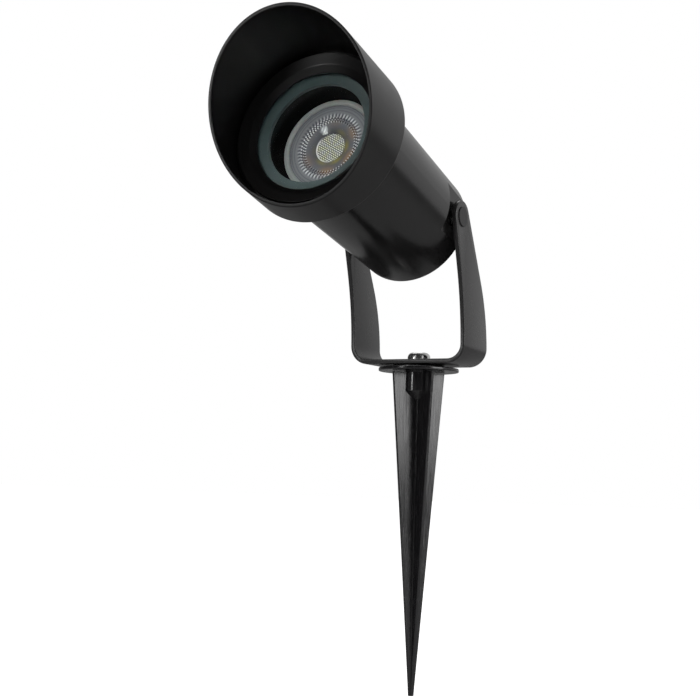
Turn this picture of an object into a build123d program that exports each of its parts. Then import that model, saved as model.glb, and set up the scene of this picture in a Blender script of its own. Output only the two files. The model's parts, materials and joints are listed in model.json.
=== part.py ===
from build123d import *
import os
from math import cos, radians, sin

# Garden spike spotlight, in millimetres, +Z up.
# The origin is the centre of the spike's flange underside, which rests on the soil.
# X runs along the tilt pivots, and the lamp looks towards -Y and upwards.

# ---- driving dimensions: spike -------------------------------------------------------
FLANGE_R = 22.0
FLANGE_T = 1.9
HUB_R = 14.3
HUB_TOP = 3.2
RIB_REACH = 16.0
RIB_T = 1.6
RIB_VALLEY_R = 0.5
TIP_Z = -174.5
TIP_REACH = 1.4
RIB_TURN = 9.0             # how far the spike stands turned from square with the bracket
BOSS_R = 8.0
BOSS_BOTTOM = -10.8
BOSS_CONE = 4.6            # height of the cone under the boss
INSERT_R = 4.4
INSERT_BOTTOM = -8.0

# ---- driving dimensions: base screw and bracket ----------------------------------------
BASE_SCREW_R = 3.0
BASE_HEAD_R = 6.2
BASE_HEAD_H = 4.6
STRAP_T = 2.5
STRAP_HALF_WIDTH = 34.0
STRAP_FRONT = -15.9
STRAP_REAR = 14.6
BEND_INNER_R = 7.6
FACE_GAP = 0.1             # between the strap and what clamps it
RUNNING_GAP = 0.08         # radial, pins and turning collars
ARM_EYE_R = 8.6
ARM_STRAIGHT_TOP = 9.0     # the arms' edges start to curve forward here
FRONT_LEAN = 17.0          # degrees off vertical where the front edge meets the eye
REAR_LEAN = 28.0
PIVOT_Y = -21.8
PIVOT_Z = 80.1

# ---- driving dimensions: head, as stations along its axis from the pivot ----------------
HEAD_TILT = 14.3           # degrees above level
BODY_REAR = -8.6
BODY_SHOULDER = 92.4
BODY_FRONT = 98.9
BODY_REAR_R = 32.0
BODY_SHOULDER_R = 34.4
SPIGOT_R = 33.2
BORE_REAR_R = 26.8
BORE_FRONT_R = 29.0
BORE_STEP = 22.0
FLOOR = -5.4               # inside face of the body's closed rear end
FLAT_X = 29.6              # the milled flats that pass between the arms
FLAT_START = 14.4
PIVOT_BOSS_R = 6.5
PIVOT_BOSS_X = 21.5
PIVOT_SCREW_R = 2.5
PIVOT_HEAD_R = 4.9
CAP_R = 5.35
CAP_T = 0.6
WASHER_R = 4.6

RING_R = 39.5
RING_REAR = 95.1
RING_LIP_R = 31.04
RING_LIP = 104.0
RING_EDGE = 108.8
GLASS_T = 3.0
GLASS_R = 33.1
GASKET_INNER_R = 26.0
SEAL_GROOVE_R = 31.5
SEAL_GROOVE = 96.5
SEAL_R = 0.85

SHIELD_R = 42.9
SHIELD_WALL = 1.6
SHIELD_REAR = 92.5
SHIELD_SEAT = 106.3        # the shield's bore opens out in front of this
MOUTH = 129.4              # where the slanted mouth crosses the axis
MOUTH_SLANT = 24.5         # degrees off square
SHIELD_TURN = 6.4          # how far the shield stands turned from upright

# ---- driving dimensions: lamp, holder, gland --------------------------------------------
LAMP_FACE = 87.3
LAMP_R = 25.0
BEZEL_R = 22.3
LENS_REAR = 79.0
LENS_EYE_R = 8.0
BOARD = 70.0
LAMP_BASE_R = 11.0
LAMP_BASE = 40.2
PIN_PITCH = 5.0            # from the axis to each pin
PIN_R = 2.5
PIN_NECK_R = 1.5
PIN_END = 33.0
LAMP_TWIST = 20.0          # degrees between locked and free
HOLDER_R = 13.5
HOLDER_FACE = 39.8
HOLDER_REAR = 19.2
SHEET_T = 1.2
STRAP_LEG = 18.2
GLAND_R = 6.0
CABLE_R = 3.6
GLAND_HEX = 7.5            # half the width across flats

# ---- frames ---------------------------------------------------------------------------
TILT = radians(HEAD_TILT)
AHEAD = Vector(0, -cos(TILT), sin(TILT))
UPWARD = Vector(0, sin(TILT), cos(TILT))
PIVOT = Vector(0, PIVOT_Y, PIVOT_Z)
HEAD = Plane(origin=PIVOT, x_dir=(1, 0, 0), z_dir=AHEAD)
SECTION = Plane(origin=PIVOT, x_dir=(1, 0, 0), z_dir=-UPWARD)
HEAD_AXIS = Axis(PIVOT, AHEAD)


def turned(points, mode=Mode.ADD):
    """Revolve (radius, station) points about the head's axis."""
    with BuildSketch(SECTION) as outline:
        with BuildLine():
            Polyline(*points, close=True)
        make_face()
    revolve(outline.sketch, axis=HEAD_AXIS, mode=mode)


def post(plane, radius, low, high, places=((0, 0),), mode=Mode.ADD):
    """Round posts, or holes, from low to high along the plane's normal."""
    with BuildSketch(plane.offset(low)) as outline:
        with Locations(*places):
            Circle(radius)
    extrude(outline.sketch, amount=high - low, mode=mode)


def block(low, high, mode=Mode.ADD):
    """A box between two corners in the head's frame."""
    sizes = [b - a for a, b in zip(low, high)]
    middle = tuple((a + b) / 2 for a, b in zip(low[:2], high[:2]))
    with BuildSketch(HEAD.offset(low[2])) as outline:
        with Locations(middle):
            Rectangle(*sizes[:2])
    extrude(outline.sketch, amount=sizes[2], mode=mode)


def side_plane(side, x):
    """A plane square to the pivots, facing away from the head on the given side."""
    return Plane(origin=PIVOT + Vector(side * x, 0, 0), x_dir=AHEAD, z_dir=(side, 0, 0))


# ---- spike ----------------------------------------------------------------------------
with BuildPart() as ground_spike:
    for turn in (RIB_TURN + 45, RIB_TURN + 135):
        across = (cos(radians(turn)), sin(radians(turn)), 0)
        rib_plane = Plane(origin=(0, 0, 0), x_dir=across, z_dir=(across[1], -across[0], 0))
        with BuildSketch(rib_plane):
            Polygon((-RIB_REACH, 0), (RIB_REACH, 0), (TIP_REACH, TIP_Z), (-TIP_REACH, TIP_Z), align=None)
        extrude(amount=RIB_T / 2, both=True)
    valleys = ground_spike.edges().filter_by(Axis.Z).group_by(SortBy.LENGTH)[-1]
    fillet(valleys, RIB_VALLEY_R)
    with BuildSketch(Plane.XZ):
        with BuildLine():
            Polyline(
                (0, HUB_TOP), (HUB_R, HUB_TOP), (HUB_R, FLANGE_T), (FLANGE_R, FLANGE_T), (FLANGE_R, 0),
                (BOSS_R, 0), (BOSS_R, BOSS_BOTTOM), (BOSS_R - BOSS_CONE, BOSS_BOTTOM - BOSS_CONE),
                (0, BOSS_BOTTOM - BOSS_CONE), close=True,
            )
        make_face()
    revolve(axis=Axis.Z)
    rims = ground_spike.edges().filter_by(GeomType.CIRCLE).filter_by(lambda e: abs(e.radius - FLANGE_R) < 0.01)
    fillet(rims, FLANGE_T * 0.35)
    post(Plane.XY, INSERT_R, INSERT_BOTTOM, HUB_TOP, mode=Mode.SUBTRACT)
ground_spike.part.label = "ground_spike"

with BuildPart() as spike_insert:
    post(Plane.XY, INSERT_R - 0.02, INSERT_BOTTOM, HUB_TOP - FACE_GAP)
    post(Plane.XY, BASE_SCREW_R + 0.03, INSERT_BOTTOM, HUB_TOP, mode=Mode.SUBTRACT)
    groove = INSERT_BOTTOM + (HUB_TOP - INSERT_BOTTOM) / 2
    with BuildSketch(Plane.XY.offset(groove - 0.75)):
        Circle(INSERT_R)
        Circle(INSERT_R - 0.6, mode=Mode.SUBTRACT)
    extrude(amount=1.5, mode=Mode.SUBTRACT)
spike_insert.part.label = "spike_insert"

PLATE_TOP = HUB_TOP + FACE_GAP + STRAP_T
HEAD_SEAT = PLATE_TOP + FACE_GAP

with BuildPart() as base_screw:
    with BuildSketch(Plane.XZ):
        with BuildLine():
            head_top = HEAD_SEAT + BASE_HEAD_H
            Polyline((0, head_top), (0, INSERT_BOTTOM + 0.5), (BASE_SCREW_R, INSERT_BOTTOM + 0.5),
                     (BASE_SCREW_R, HEAD_SEAT), (BASE_HEAD_R, HEAD_SEAT), (BASE_HEAD_R, head_top - 2.4))
            ThreePointArc((BASE_HEAD_R, head_top - 2.4), (BASE_HEAD_R - 0.8, head_top - 0.8),
                          (BASE_HEAD_R - 3, head_top))
            Line((BASE_HEAD_R - 3, head_top), (0, head_top))
        make_face()
    revolve(axis=Axis.Z)
    with BuildSketch(Plane.XY.offset(HEAD_SEAT + BASE_HEAD_H)):
        Rectangle(6.0, 1.2)
        Rectangle(1.2, 6.0)
    extrude(amount=-2.4, mode=Mode.SUBTRACT)
base_screw.part.label = "base_screw"

# ---- bracket --------------------------------------------------------------------------


def edge_radius(foot, lean, eye):
    """Radius of an edge's arc that starts upright at its foot and runs on straight into the eye."""
    rise = (PIVOT_Z - ARM_STRAIGHT_TOP) * sin(radians(lean))
    return (eye + rise - (foot - PIVOT_Y) * cos(radians(lean))) / (1 - cos(radians(lean)))


FRONT_R = edge_radius(STRAP_FRONT, FRONT_LEAN, -ARM_EYE_R)
REAR_R = edge_radius(STRAP_REAR, REAR_LEAN, ARM_EYE_R)


def leaning(radius, y_start, lean, fraction):
    """A point on an edge's arc, which starts upright at the foot and leans forward."""
    angle = radians(lean * fraction)
    return (y_start - radius * (1 - cos(angle)), ARM_STRAIGHT_TOP + radius * sin(angle))


def eye_point(angle):
    return (PIVOT_Y + ARM_EYE_R * cos(radians(angle)), PIVOT_Z + ARM_EYE_R * sin(radians(angle)))


with BuildPart() as bracket:
    bottom = HUB_TOP + FACE_GAP
    inner = STRAP_HALF_WIDTH - STRAP_T
    with BuildSketch(Plane.XZ):
        with Locations((0, bottom)):
            Rectangle(2 * STRAP_HALF_WIDTH, 120, align=(Align.CENTER, Align.MIN))
        with Locations((0, bottom + STRAP_T)):
            Rectangle(2 * inner, 120, align=(Align.CENTER, Align.MIN), mode=Mode.SUBTRACT)
    extrude(amount=60, both=True)
    corners = bracket.edges().filter_by(Axis.Y)
    inner_corners = corners.filter_by(
        lambda e: abs(e.center().Z - bottom - STRAP_T) < 0.01 and abs(abs(e.center().X) - inner) < 0.01)
    fillet(inner_corners, BEND_INNER_R)
    outer_corners = bracket.edges().filter_by(Axis.Y).filter_by(lambda e: abs(e.center().Z - bottom) < 0.01)
    fillet(outer_corners, BEND_INNER_R + STRAP_T)
    with BuildSketch(Plane.YZ):
        with BuildLine():
            Line((STRAP_FRONT, 0), (STRAP_REAR, 0))
            Line((STRAP_REAR, 0), (STRAP_REAR, ARM_STRAIGHT_TOP))
            ThreePointArc(*[leaning(REAR_R, STRAP_REAR, REAR_LEAN, f) for f in (0, 0.5, 1)])
            Line(leaning(REAR_R, STRAP_REAR, REAR_LEAN, 1), eye_point(REAR_LEAN))
            ThreePointArc(eye_point(REAR_LEAN), eye_point(100), eye_point(180 + FRONT_LEAN))
            Line(eye_point(180 + FRONT_LEAN), leaning(FRONT_R, STRAP_FRONT, FRONT_LEAN, 1))
            ThreePointArc(*[leaning(FRONT_R, STRAP_FRONT, FRONT_LEAN, f) for f in (1, 0.5, 0)])
            Line((STRAP_FRONT, ARM_STRAIGHT_TOP), (STRAP_FRONT, 0))
        make_face()
    extrude(amount=60, both=True, mode=Mode.INTERSECT)
    post(Plane.XY, BASE_SCREW_R + RUNNING_GAP, 0, 10, mode=Mode.SUBTRACT)
    for side in (1, -1):
        post(side_plane(side, inner - 1), PIVOT_SCREW_R + RUNNING_GAP, 0, 5, mode=Mode.SUBTRACT)
        with BuildSketch(side_plane(side, STRAP_HALF_WIDTH)):
            Circle(PIVOT_HEAD_R + RUNNING_GAP)
        extrude(amount=-2.4, taper=45, mode=Mode.SUBTRACT)
bracket.part.label = "bracket"

with BuildPart() as pivot_screws:
    for side in (1, -1):
        post(side_plane(side, 0), PIVOT_SCREW_R, STRAP_HALF_WIDTH - 10, STRAP_HALF_WIDTH)
        with BuildSketch(side_plane(side, STRAP_HALF_WIDTH)):
            Circle(PIVOT_HEAD_R)
        extrude(amount=-2.4, taper=45)
        with BuildSketch(side_plane(side, STRAP_HALF_WIDTH)):
            RegularPolygon(radius=1.5, side_count=6, major_radius=False)
        extrude(amount=-2.6, mode=Mode.SUBTRACT)
pivot_screws.part.label = "pivot_screws"

with BuildPart() as pivot_caps:
    for side in (1, -1):
        post(side_plane(side, STRAP_HALF_WIDTH), CAP_R, FACE_GAP, CAP_T)
        post(side_plane(side, STRAP_HALF_WIDTH), 1.4, -2.2, FACE_GAP)
    outer_rims = pivot_caps.edges().filter_by(GeomType.CIRCLE).filter_by(
        lambda e: abs(abs(e.center().X) - STRAP_HALF_WIDTH - CAP_T) < 0.01)
    fillet(outer_rims, 0.3)
pivot_caps.part.label = "pivot_caps"

with BuildPart() as pivot_washers:
    for side in (1, -1):
        post(side_plane(side, FLAT_X), WASHER_R, FACE_GAP, inner - FLAT_X - 0.1)
        post(side_plane(side, FLAT_X), PIVOT_SCREW_R + 0.05, 0, 3, mode=Mode.SUBTRACT)
pivot_washers.part.label = "pivot_washers"

# ---- head body ------------------------------------------------------------------------
FOOT_PLACES = [(0, 22.6), (0, -22.6)]
EARTH_PLACE = [(13.5, 11)]
FOOT_BOSS_TOP = -2.0
FOOT_SCREW_R = 1.5

with BuildPart() as head_body:
    turned([(0, BODY_REAR), (BODY_REAR_R, BODY_REAR), (BODY_SHOULDER_R, BODY_SHOULDER), (SPIGOT_R, BODY_SHOULDER),
            (SPIGOT_R, BODY_FRONT), (BORE_FRONT_R, BODY_FRONT), (BORE_FRONT_R, BORE_STEP + 3),
            (BORE_REAR_R, BORE_STEP), (BORE_REAR_R, FLOOR), (0, FLOOR)])
    rear_rim = head_body.edges().filter_by(GeomType.CIRCLE).filter_by(lambda e: abs(e.radius - BODY_REAR_R) < 0.01)
    fillet(rear_rim, 0.8)
    with BuildSketch(SECTION):
        for side in (1, -1):
            with Locations((side * FLAT_X, FLAT_START)):
                Rectangle(20, 60, align=(Align.MIN if side > 0 else Align.MAX, Align.MAX))
    extrude(amount=60, both=True, mode=Mode.SUBTRACT)
    for side in (1, -1):
        post(side_plane(side, PIVOT_BOSS_X), PIVOT_BOSS_R, 0, FLAT_X - PIVOT_BOSS_X)
        post(side_plane(side, PIVOT_BOSS_X + 1.5), PIVOT_SCREW_R + 0.05, 0, 10, mode=Mode.SUBTRACT)
    post(HEAD, 4.0, FLOOR, FOOT_BOSS_TOP, FOOT_PLACES)
    post(HEAD, 4.0, FLOOR, FOOT_BOSS_TOP, EARTH_PLACE)
    post(HEAD, FOOT_SCREW_R + 0.05, FLOOR - 1.6, FOOT_BOSS_TOP, FOOT_PLACES + EARTH_PLACE, mode=Mode.SUBTRACT)
    post(HEAD, GLAND_R + 0.1, BODY_REAR - 1, FLOOR + 1, mode=Mode.SUBTRACT)
    turned([(SEAL_GROOVE_R, SEAL_GROOVE - SEAL_R - 0.05), (SPIGOT_R + 1, SEAL_GROOVE - SEAL_R - 0.05),
            (SPIGOT_R + 1, SEAL_GROOVE + SEAL_R + 0.05), (SEAL_GROOVE_R, SEAL_GROOVE + SEAL_R + 0.05)],
           mode=Mode.SUBTRACT)
head_body.part.label = "head_body"

with BuildPart() as body_seal:
    with BuildSketch(SECTION):
        with Locations((SEAL_GROOVE_R + SEAL_R + 0.03, SEAL_GROOVE)):
            Circle(SEAL_R)
    revolve(axis=HEAD_AXIS)
body_seal.part.label = "body_seal"

# ---- glass, its gasket, the ring that clamps it, and the shield ---------------------------
GLASS_FRONT = RING_LIP - 0.05
GLASS_REAR = GLASS_FRONT - GLASS_T

with BuildPart() as glass_gasket:
    turned([(GASKET_INNER_R, BODY_FRONT + 0.02), (GLASS_R, BODY_FRONT + 0.02), (GLASS_R, GLASS_REAR - 0.02),
            (GASKET_INNER_R, GLASS_REAR - 0.02)])
glass_gasket.part.label = "glass_gasket"

with BuildPart() as front_glass:
    turned([(0, GLASS_REAR), (GLASS_R - 0.5, GLASS_REAR), (GLASS_R, GLASS_REAR + 0.5), (GLASS_R, GLASS_FRONT - 0.5),
            (GLASS_R - 0.5, GLASS_FRONT), (0, GLASS_FRONT)])
front_glass.part.label = "front_glass"

with BuildPart() as glass_ring:
    turned([(SPIGOT_R + RUNNING_GAP, RING_REAR), (RING_R, RING_REAR), (RING_R, RING_EDGE - 0.3),
            (RING_R - 0.3, RING_EDGE), (RING_LIP_R + 3.2, RING_LIP + 2.9), (RING_LIP_R, RING_LIP + 0.6),
            (RING_LIP_R, RING_LIP), (SPIGOT_R + RUNNING_GAP, RING_LIP)])
glass_ring.part.label = "glass_ring"

MOUTH_NORMAL = (AHEAD * cos(radians(MOUTH_SLANT))
                - (UPWARD * cos(radians(SHIELD_TURN)) - Vector(1, 0, 0) * sin(radians(SHIELD_TURN)))
                * sin(radians(MOUTH_SLANT)))
MOUTH_PLANE = Plane(origin=PIVOT + AHEAD * MOUTH, z_dir=MOUTH_NORMAL)

with BuildPart() as glare_shield:
    bore = SHIELD_R - SHIELD_WALL
    turned([(SPIGOT_R + 0.2, SHIELD_REAR), (SHIELD_R - 0.7, SHIELD_REAR), (SHIELD_R - 0.2, SHIELD_REAR + 0.2),
            (SHIELD_R, SHIELD_REAR + 0.7), (SHIELD_R, MOUTH + 25), (bore, MOUTH + 25), (bore, SHIELD_SEAT),
            (RING_R + RUNNING_GAP, SHIELD_SEAT), (RING_R + RUNNING_GAP, RING_REAR - 0.1),
            (SPIGOT_R + 0.2, RING_REAR - 0.1)])
    split(bisect_by=MOUTH_PLANE, keep=Keep.BOTTOM)
glare_shield.part.label = "glare_shield"

# ---- lamp -----------------------------------------------------------------------------
with BuildPart() as lamp_housing:
    turned([(LAMP_BASE_R, 50), (15.5, 53), (21.0, 68), (LAMP_R - 0.3, 82), (LAMP_R - 0.3, 85.2), (23.3, 85.2),
            (23.3, 82.3), (19.6, 68.6), (14.2, 54.6), (9.6, 52), (9.6, 50)])
lamp_housing.part.label = "lamp_housing"

with BuildPart() as lamp_bezel:
    turned([(BEZEL_R, 85.25), (LAMP_R, 85.25), (LAMP_R, LAMP_FACE - 0.8), (LAMP_R - 0.6, LAMP_FACE),
            (BEZEL_R + 0.7, LAMP_FACE), (BEZEL_R, LAMP_FACE - 0.7)])
lamp_bezel.part.label = "lamp_bezel"

with BuildPart() as lamp_lens:
    turned([(0, LENS_REAR), (LENS_EYE_R, LENS_REAR), (BEZEL_R - 0.1, 83.2), (BEZEL_R - 0.1, LAMP_FACE - 0.6),
            (BEZEL_R - 1.6, LAMP_FACE - 1.0), (LENS_EYE_R + 4, LAMP_FACE - 2.0), (LENS_EYE_R, LAMP_FACE - 2.6),
            (0, LAMP_FACE - 2.2)])
lamp_lens.part.label = "lamp_lens"

with BuildPart() as lamp_board:
    post(HEAD, 18.6, BOARD, BOARD + 1.6)
lamp_board.part.label = "lamp_board"

with BuildPart() as lamp_leds:
    with BuildSketch(HEAD.offset(BOARD + 1.65)):
        with PolarLocations(5.2, 6):
            Rectangle(2.8, 2.8)
        Rectangle(2.8, 2.8)
    extrude(amount=0.8)
lamp_leds.part.label = "lamp_leds"

with BuildPart() as lamp_driver:
    block((-7.5, -0.8, 46), (7.5, 0.8, 66))
    post(HEAD, 3.0, 52, 64, [(-3.5, 3.6)])
    block((1.5, 0.8, 52), (6.5, 5.0, 60))
lamp_driver.part.label = "lamp_driver"

with BuildPart() as lamp_base:
    turned([(0, LAMP_BASE), (LAMP_BASE_R - 1, LAMP_BASE), (LAMP_BASE_R, LAMP_BASE + 1), (LAMP_BASE_R, 49.9),
            (9.5, 49.9), (9.5, LAMP_BASE + 4), (0, LAMP_BASE + 4)])
    post(HEAD, PIN_NECK_R + 0.02, LAMP_BASE - 1, LAMP_BASE + 3, [(PIN_PITCH, 0), (-PIN_PITCH, 0)], mode=Mode.SUBTRACT)
lamp_base.part.label = "lamp_base"

with BuildPart() as lamp_pins:
    post(HEAD, PIN_NECK_R, PIN_END, LAMP_BASE + 3, [(PIN_PITCH, 0), (-PIN_PITCH, 0)])
    post(HEAD, PIN_R, PIN_END, PIN_END + 2.4, [(PIN_PITCH, 0), (-PIN_PITCH, 0)])
lamp_pins.part.label = "lamp_pins"

# ---- lamp holder and the sheet strap that carries it ---------------------------------------
HOLDER_SCREWS = [(0, 9.2), (0, -9.2)]
LEAD_EXITS = [(10.8, 0), (-10.8, 0)]
SLOT_FLOOR = 29.5
SLOT_ROOF = 36.0           # the lip that the pins' heads lock under
PIN_PLAY = 0.25


def around(radius, turn):
    """A point of the head's cross-section, turned about its axis."""
    return Vector(radius * cos(radians(turn)), radius * sin(radians(turn)))


def arc_slots(half, low, high):
    """Cut the two curved slots that the lamp's pins turn in."""
    with BuildSketch(HEAD.offset(low)) as outline:
        for start in (0, 180):
            with BuildLine():
                for radius in (PIN_PITCH - half, PIN_PITCH + half):
                    CenterArc((0, 0), radius, start, LAMP_TWIST)
                for end, side in ((start, -1), (start + LAMP_TWIST, 1)):
                    tip = around(PIN_PITCH, end) + around(side * half, end + 90)
                    ThreePointArc(around(PIN_PITCH - half, end), tip, around(PIN_PITCH + half, end))
            make_face()
    extrude(outline.sketch, amount=high - low, mode=Mode.SUBTRACT)


with BuildPart() as lamp_holder:
    turned([(0, HOLDER_REAR + 0.02), (HOLDER_R, HOLDER_REAR + 0.02), (HOLDER_R, 34), (HOLDER_R - 1.5, 35.5),
            (HOLDER_R - 1.5, HOLDER_FACE), (0, HOLDER_FACE)])
    arc_slots(PIN_R + PIN_PLAY, SLOT_FLOOR, SLOT_ROOF)
    arc_slots(PIN_NECK_R + PIN_PLAY, SLOT_ROOF, HOLDER_FACE)
    free_ends = [tuple(around(PIN_PITCH, turn))[:2] for turn in (LAMP_TWIST, 180 + LAMP_TWIST)]
    post(HEAD, PIN_R + PIN_PLAY, SLOT_ROOF, HOLDER_FACE, free_ends, mode=Mode.SUBTRACT)
    post(HEAD, FOOT_SCREW_R + 0.05, HOLDER_REAR, 26, HOLDER_SCREWS, mode=Mode.SUBTRACT)
    post(HEAD, 1.15, HOLDER_REAR, 24, LEAD_EXITS, mode=Mode.SUBTRACT)
lamp_holder.part.label = "lamp_holder"

with BuildPart() as holder_contacts:
    for turn in (LAMP_TWIST / 2, 180 + LAMP_TWIST / 2):
        place = tuple(around(PIN_PITCH, turn))[:2]
        with BuildSketch(HEAD.offset(SLOT_FLOOR + 0.02)):
            with Locations(Location(place, turn)):
                Rectangle(3.6, 4.0)
        extrude(amount=0.8)
        with BuildSketch(HEAD.offset(SLOT_FLOOR + 0.82)):
            with Locations(Location(place, turn)):
                Rectangle(3.6, 1.6)
        extrude(amount=1.8)
holder_contacts.part.label = "holder_contacts"

with BuildPart() as holder_strap:
    block((-7, -STRAP_LEG - SHEET_T, HOLDER_REAR - SHEET_T), (7, STRAP_LEG + SHEET_T, HOLDER_REAR))
    for side in (1, -1):
        low, high = sorted((side * STRAP_LEG, side * (STRAP_LEG + SHEET_T)))
        block((-5, low, FOOT_BOSS_TOP + 0.02), (5, high, HOLDER_REAR))
        low, high = sorted((side * STRAP_LEG, side * (STRAP_LEG + 7)))
        block((-5, low, FOOT_BOSS_TOP + 0.02), (5, high, FOOT_BOSS_TOP + SHEET_T))
    post(HEAD, FOOT_SCREW_R + 0.1, FOOT_BOSS_TOP, FOOT_BOSS_TOP + 2, FOOT_PLACES, mode=Mode.SUBTRACT)
    post(HEAD, FOOT_SCREW_R + 0.1, HOLDER_REAR - 2, HOLDER_REAR, HOLDER_SCREWS, mode=Mode.SUBTRACT)
holder_strap.part.label = "holder_strap"

with BuildPart() as holder_screws:
    seat = HOLDER_REAR - SHEET_T - 0.02
    post(HEAD, FOOT_SCREW_R, seat, 25, HOLDER_SCREWS)
    post(HEAD, 2.8, seat - 1.8, seat, HOLDER_SCREWS)
    with BuildSketch(HEAD.offset(seat - 1.8)):
        with Locations(*HOLDER_SCREWS):
            Rectangle(3.4, 0.8)
            Rectangle(0.8, 3.4)
    extrude(amount=1.1, mode=Mode.SUBTRACT)
holder_screws.part.label = "holder_screws"

with BuildPart() as strap_screws:
    seat = FOOT_BOSS_TOP + SHEET_T + 0.02
    post(HEAD, FOOT_SCREW_R, FLOOR - 1.4, seat, FOOT_PLACES)
    post(HEAD, 2.8, seat, seat + 1.8, FOOT_PLACES)
    with BuildSketch(HEAD.offset(seat + 1.8)):
        with Locations(*FOOT_PLACES):
            Rectangle(3.4, 0.8)
            Rectangle(0.8, 3.4)
    extrude(amount=-1.1, mode=Mode.SUBTRACT)
strap_screws.part.label = "strap_screws"

# ---- wiring inside the body -----------------------------------------------------------
BLOCK_LOW = (-20.0, -11.0, FLOOR + 0.05)
BLOCK_HIGH = (-10.0, 11.0, 5.0)
WAYS = (-7.0, 0.0, 7.0)
BLOCK_X = (BLOCK_LOW[0] + BLOCK_HIGH[0]) / 2
LEAD_R = 1.0

with BuildPart() as terminal_block:
    block(BLOCK_LOW, BLOCK_HIGH)
    for way in WAYS[:2]:
        block((BLOCK_LOW[0], way + 2.9, 1.0), (BLOCK_HIGH[0], way + 4.1, BLOCK_HIGH[2]), mode=Mode.SUBTRACT)
    post(HEAD, 1.6, 1.0, BLOCK_HIGH[2], [(BLOCK_X - 2.4, way) for way in WAYS], mode=Mode.SUBTRACT)
    post(HEAD, LEAD_R + 0.15, 1.0, BLOCK_HIGH[2], [(BLOCK_X + 2.4, way) for way in WAYS], mode=Mode.SUBTRACT)
terminal_block.part.label = "terminal_block"

with BuildPart() as terminal_screws:
    post(HEAD, 1.5, 1.05, 4.0, [(BLOCK_X - 2.4, way) for way in WAYS])
    with BuildSketch(HEAD.offset(4.0)):
        with Locations(*[(BLOCK_X - 2.4, way) for way in WAYS]):
            Rectangle(3.2, 0.6)
    extrude(amount=-0.8, mode=Mode.SUBTRACT)
terminal_screws.part.label = "terminal_screws"


def lead(points, bend):
    """A round insulated lead along straight runs joined by tangent arcs, in the head's frame."""
    places = [HEAD.from_local_coords(Vector(*point)) for point in points]
    with BuildLine() as route:
        FilletPolyline(*places, radius=bend)
    start = Plane(origin=places[0], z_dir=places[1] - places[0])
    with BuildSketch(start) as outline:
        Circle(LEAD_R)
    sweep(outline.sketch, path=route.wires()[0])


with BuildPart() as lead_live:
    lead([(-10.8, 0, 23.9), (-10.8, 0, 15.5), (-12.6, 3.5, 10.5), (BLOCK_X + 2.4, 7, 5.8), (BLOCK_X + 2.4, 7, 1.1)], 2.4)
lead_live.part.label = "lead_live"

with BuildPart() as lead_neutral:
    lead([(10.8, 0, 23.9), (10.8, 0, 13.5), (4.0, 0, 10.0), (-6.5, 0, 10.0), (BLOCK_X + 2.4, 0, 7.5),
          (BLOCK_X + 2.4, 0, 1.1)], 2.4)
lead_neutral.part.label = "lead_neutral"

with BuildPart() as lead_earth:
    lead([(BLOCK_X + 2.4, -7, 1.1), (BLOCK_X + 2.4, -7, 8.0), (-6.0, -7.5, 8.0), (6.0, -4.0, 6.5), (12.6, 6.4, 6.0),
          (12.6, 6.4, -1.1)], 2.2)
lead_earth.part.label = "lead_earth"

with BuildPart() as earth_screw:
    seat = FOOT_BOSS_TOP + 0.02
    post(HEAD, FOOT_SCREW_R, FLOOR - 1.4, seat + 1.5, EARTH_PLACE)
    post(HEAD, 2.8, seat + 0.9, seat + 2.7, EARTH_PLACE)
    with BuildSketch(HEAD.offset(seat + 2.7)):
        with Locations(*EARTH_PLACE):
            Rectangle(3.4, 0.8)
            Rectangle(0.8, 3.4)
    extrude(amount=-1.1, mode=Mode.SUBTRACT)
earth_screw.part.label = "earth_screw"

with BuildPart() as earth_tag:
    with BuildSketch(HEAD.offset(FOOT_BOSS_TOP + 0.05)):
        with Locations(*EARTH_PLACE):
            Circle(3.6)
        with Locations(Location((EARTH_PLACE[0][0] - 1.0, EARTH_PLACE[0][1] - 4.8), 78)):
            Rectangle(5.4, 2.6)
        with Locations(*EARTH_PLACE):
            Circle(FOOT_SCREW_R + 0.05, mode=Mode.SUBTRACT)
    extrude(amount=0.8)
earth_tag.part.label = "earth_tag"

# ---- cable gland in the rear wall --------------------------------------------------------
GLAND_SEAT = BODY_REAR - 0.8
COLLAR = GLAND_SEAT - 3.0
NOSE = COLLAR - 4.0

with BuildPart() as gland_body:
    turned([(GLAND_R - 1.4, 0), (GLAND_R, 0), (GLAND_R, COLLAR), (GLAND_R + 0.3, COLLAR), (GLAND_R + 0.3, NOSE),
            (CABLE_R + 1.8, NOSE), (CABLE_R + 1.8, GLAND_SEAT - 1.4), (GLAND_R - 1.4, GLAND_SEAT - 1.4)])
    with BuildSketch(HEAD.offset(COLLAR)):
        RegularPolygon(radius=GLAND_HEX, side_count=6, major_radius=False)
        Circle(GLAND_R - 0.1, mode=Mode.SUBTRACT)
    extrude(amount=3.0)
gland_body.part.label = "gland_body"

with BuildPart() as gland_washer:
    turned([(GLAND_R + 0.1, GLAND_SEAT + 0.02), (GLAND_HEX - 0.2, GLAND_SEAT + 0.02),
            (GLAND_HEX - 0.2, BODY_REAR - 0.02), (GLAND_R + 0.1, BODY_REAR - 0.02)])
gland_washer.part.label = "gland_washer"

with BuildPart() as gland_locknut:
    with BuildSketch(HEAD.offset(FLOOR + 0.02)):
        RegularPolygon(radius=GLAND_HEX, side_count=6, major_radius=False)
        Circle(GLAND_R + 0.03, mode=Mode.SUBTRACT)
    extrude(amount=3.0)
gland_locknut.part.label = "gland_locknut"

with BuildPart() as gland_seal:
    turned([(CABLE_R, NOSE - 0.6), (CABLE_R + 1.7, NOSE - 0.6), (CABLE_R + 1.7, GLAND_SEAT - 1.5),
            (CABLE_R, GLAND_SEAT - 1.5)])
gland_seal.part.label = "gland_seal"

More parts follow.
